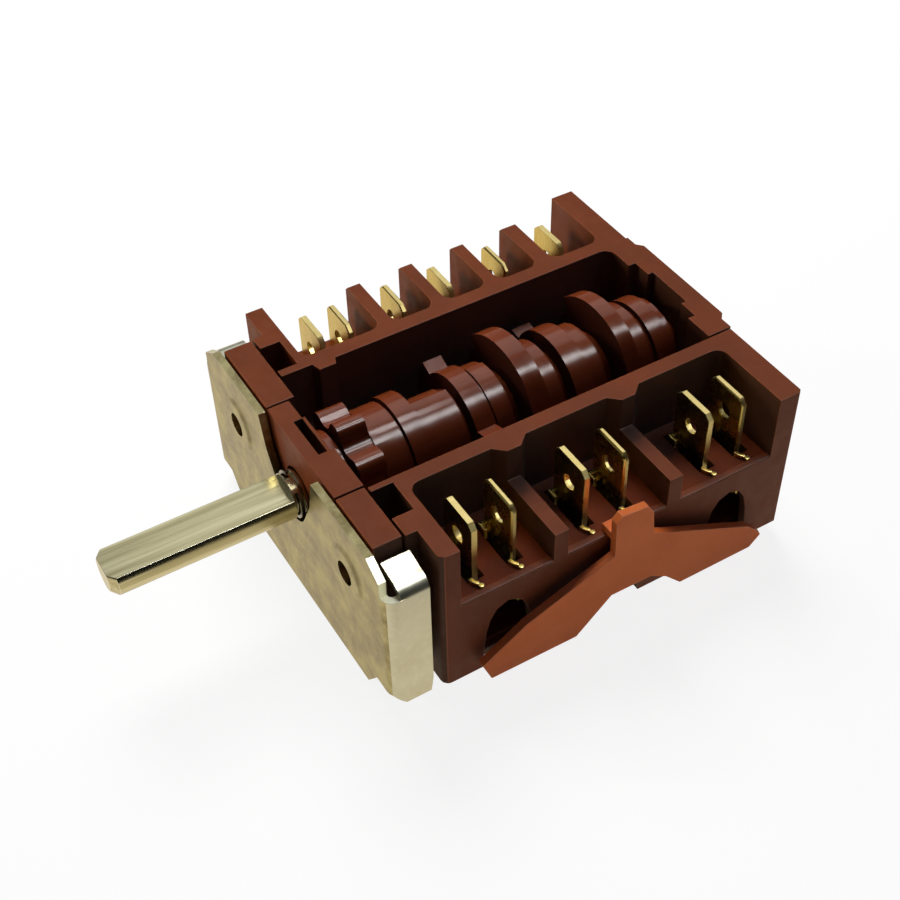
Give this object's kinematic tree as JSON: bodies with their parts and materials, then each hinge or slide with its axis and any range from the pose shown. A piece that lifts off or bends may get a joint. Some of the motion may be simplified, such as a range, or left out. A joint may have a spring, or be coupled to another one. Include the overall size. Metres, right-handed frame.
{
  "type": "oven selector switch",
  "caption": "Rotary selector switch with a flatted spindle, folded front plate, open cam drum with a detent, spring contacts and tab terminals in side bays.",
  "frame": {"origin": "front face of the plate, on the middle plane, 10 mm below the spindle axis", "axes": "+Y from the front plate to the rear, so the spindle points along -Y; +Z towards the open tops of the bays; +X to the side that carries the latch clip"},
  "size_m": [0.0522, 0.0838, 0.0267],
  "materials": {
    "brown_moulding": "fine-grained brown thermoset moulding",
    "drum_moulding": "smooth red-brown moulding",
    "clip_moulding": "orange-brown moulding",
    "plated_steel": "zinc-plated sheet, slightly yellow",
    "spindle_steel": "turned and plated",
    "ring_steel": "plain spring steel",
    "terminal_brass": "blanked brass strip",
    "leaf_bronze": "rolled bronze strip",
    "tappet_moulding": "natural moulding",
    "plunger_steel": "bright",
    "spring_steel": "drawn wire"
  },
  "bodies": {
    "switch_body": {"main_housing": "brown_moulding", "right_contact_block": "brown_moulding", "left_base_cover": "brown_moulding", "right_base_cover": "brown_moulding", "front_block_left": "brown_moulding", "front_block_right": "brown_moulding", "bearing_block": "brown_moulding", "front_plate": "plated_steel", "side_clip": "clip_moulding", "detent_spring": "spring_steel", "terminal_r1_fixed": "terminal_brass", "terminal_r1_moving": "terminal_brass", "terminal_r2_fixed": "terminal_brass", "terminal_r2_moving": "terminal_brass", "terminal_r3_fixed": "terminal_brass", "terminal_r3_moving": "terminal_brass", "terminal_l1_fixed": "terminal_brass", "terminal_l1_moving": "terminal_brass", "terminal_l2_fixed": "terminal_brass", "terminal_l2_moving": "terminal_brass", "terminal_l3_fixed": "terminal_brass", "terminal_l3_moving": "terminal_brass"},
    "selector": {"spindle": "spindle_steel", "cam_drum": "drum_moulding", "retaining_ring": "ring_steel"},
    "detent_follower": {"detent_plunger": "plunger_steel"},
    "tappet_body_r1": {"tappet_r1": "tappet_moulding"},
    "leaf_body_r1": {"leaf_r1": "leaf_bronze"},
    "tappet_body_r2": {"tappet_r2": "tappet_moulding"},
    "leaf_body_r2": {"leaf_r2": "leaf_bronze"},
    "tappet_body_r3": {"tappet_r3": "tappet_moulding"},
    "leaf_body_r3": {"leaf_r3": "leaf_bronze"},
    "tappet_body_l1": {"tappet_l1": "tappet_moulding"},
    "leaf_body_l1": {"leaf_l1": "leaf_bronze"},
    "tappet_body_l2": {"tappet_l2": "tappet_moulding"},
    "leaf_body_l2": {"leaf_l2": "leaf_bronze"},
    "tappet_body_l3": {"tappet_l3": "tappet_moulding"},
    "leaf_body_l3": {"leaf_l3": "leaf_bronze"}
  },
  "joints": [
    {"name": "selector_turn", "type": "hinge", "parent": "switch_body", "child": "selector", "pos_m": [0, 0, 0.01], "axis": [0, -1, 0], "continuous": true},
    {"name": "detent_travel", "type": "slide", "parent": "switch_body", "child": "detent_follower", "axis": [0.9272, 0, 0.3746], "range_m": [0, 0.0017]},
    {"name": "tappet_travel_r1", "type": "slide", "parent": "switch_body", "child": "tappet_body_r1", "axis": [-0.866, 0, 0.5], "range_m": [0, 0.0017]},
    {"name": "leaf_swing_r1", "type": "hinge", "parent": "switch_body", "child": "leaf_body_r1", "pos_m": [0.01901, 0.0214, -0.00097], "axis": [-0.5, 0, -0.866], "range_deg": [0, 17.25]},
    {"name": "tappet_travel_r2", "type": "slide", "parent": "switch_body", "child": "tappet_body_r2", "axis": [-0.866, 0, 0.5], "range_m": [0, 0.0017]},
    {"name": "leaf_swing_r2", "type": "hinge", "parent": "switch_body", "child": "leaf_body_r2", "pos_m": [0.01901, 0.0373, -0.00097], "axis": [-0.5, 0, -0.866], "range_deg": [0, 17.56]},
    {"name": "tappet_travel_r3", "type": "slide", "parent": "switch_body", "child": "tappet_body_r3", "axis": [-0.866, 0, 0.5], "range_m": [0, 0.0017]},
    {"name": "leaf_swing_r3", "type": "hinge", "parent": "switch_body", "child": "leaf_body_r3", "pos_m": [0.01901, 0.0549, -0.00097], "axis": [-0.5, 0, -0.866], "range_deg": [0, 10.6]},
    {"name": "tappet_travel_l1", "type": "slide", "parent": "switch_body", "child": "tappet_body_l1", "axis": [0.866, 0, 0.5], "range_m": [0, 0.0017]},
    {"name": "leaf_swing_l1", "type": "hinge", "parent": "switch_body", "child": "leaf_body_l1", "pos_m": [-0.01901, 0.0212, -0.00097], "axis": [-0.5, 0, 0.866], "range_deg": [0, 18.74]},
    {"name": "tappet_travel_l2", "type": "slide", "parent": "switch_body", "child": "tappet_body_l2", "axis": [0.866, 0, 0.5], "range_m": [0, 0.0017]},
    {"name": "leaf_swing_l2", "type": "hinge", "parent": "switch_body", "child": "leaf_body_l2", "pos_m": [-0.01901, 0.0242, -0.00097], "axis": [0.5, 0, -0.866], "range_deg": [0, 8.71]},
    {"name": "tappet_travel_l3", "type": "slide", "parent": "switch_body", "child": "tappet_body_l3", "axis": [0.866, 0, 0.5], "range_m": [0, 0.0017]},
    {"name": "leaf_swing_l3", "type": "hinge", "parent": "switch_body", "child": "leaf_body_l3", "pos_m": [-0.01901, 0.0405, -0.00097], "axis": [0.5, 0, -0.866], "range_deg": [0, 12.04]}
  ],
  "couplings": [
    {"joint": "leaf_swing_r1", "follows": "tappet_travel_r1", "rad_per_m": 176.99},
    {"joint": "leaf_swing_r2", "follows": "tappet_travel_r2", "rad_per_m": 180.18},
    {"joint": "leaf_swing_r3", "follows": "tappet_travel_r3", "rad_per_m": 108.7},
    {"joint": "leaf_swing_l1", "follows": "tappet_travel_l1", "rad_per_m": 192.31},
    {"joint": "leaf_swing_l2", "follows": "tappet_travel_l2", "rad_per_m": 89.286},
    {"joint": "leaf_swing_l3", "follows": "tappet_travel_l3", "rad_per_m": 123.46}
  ]
}
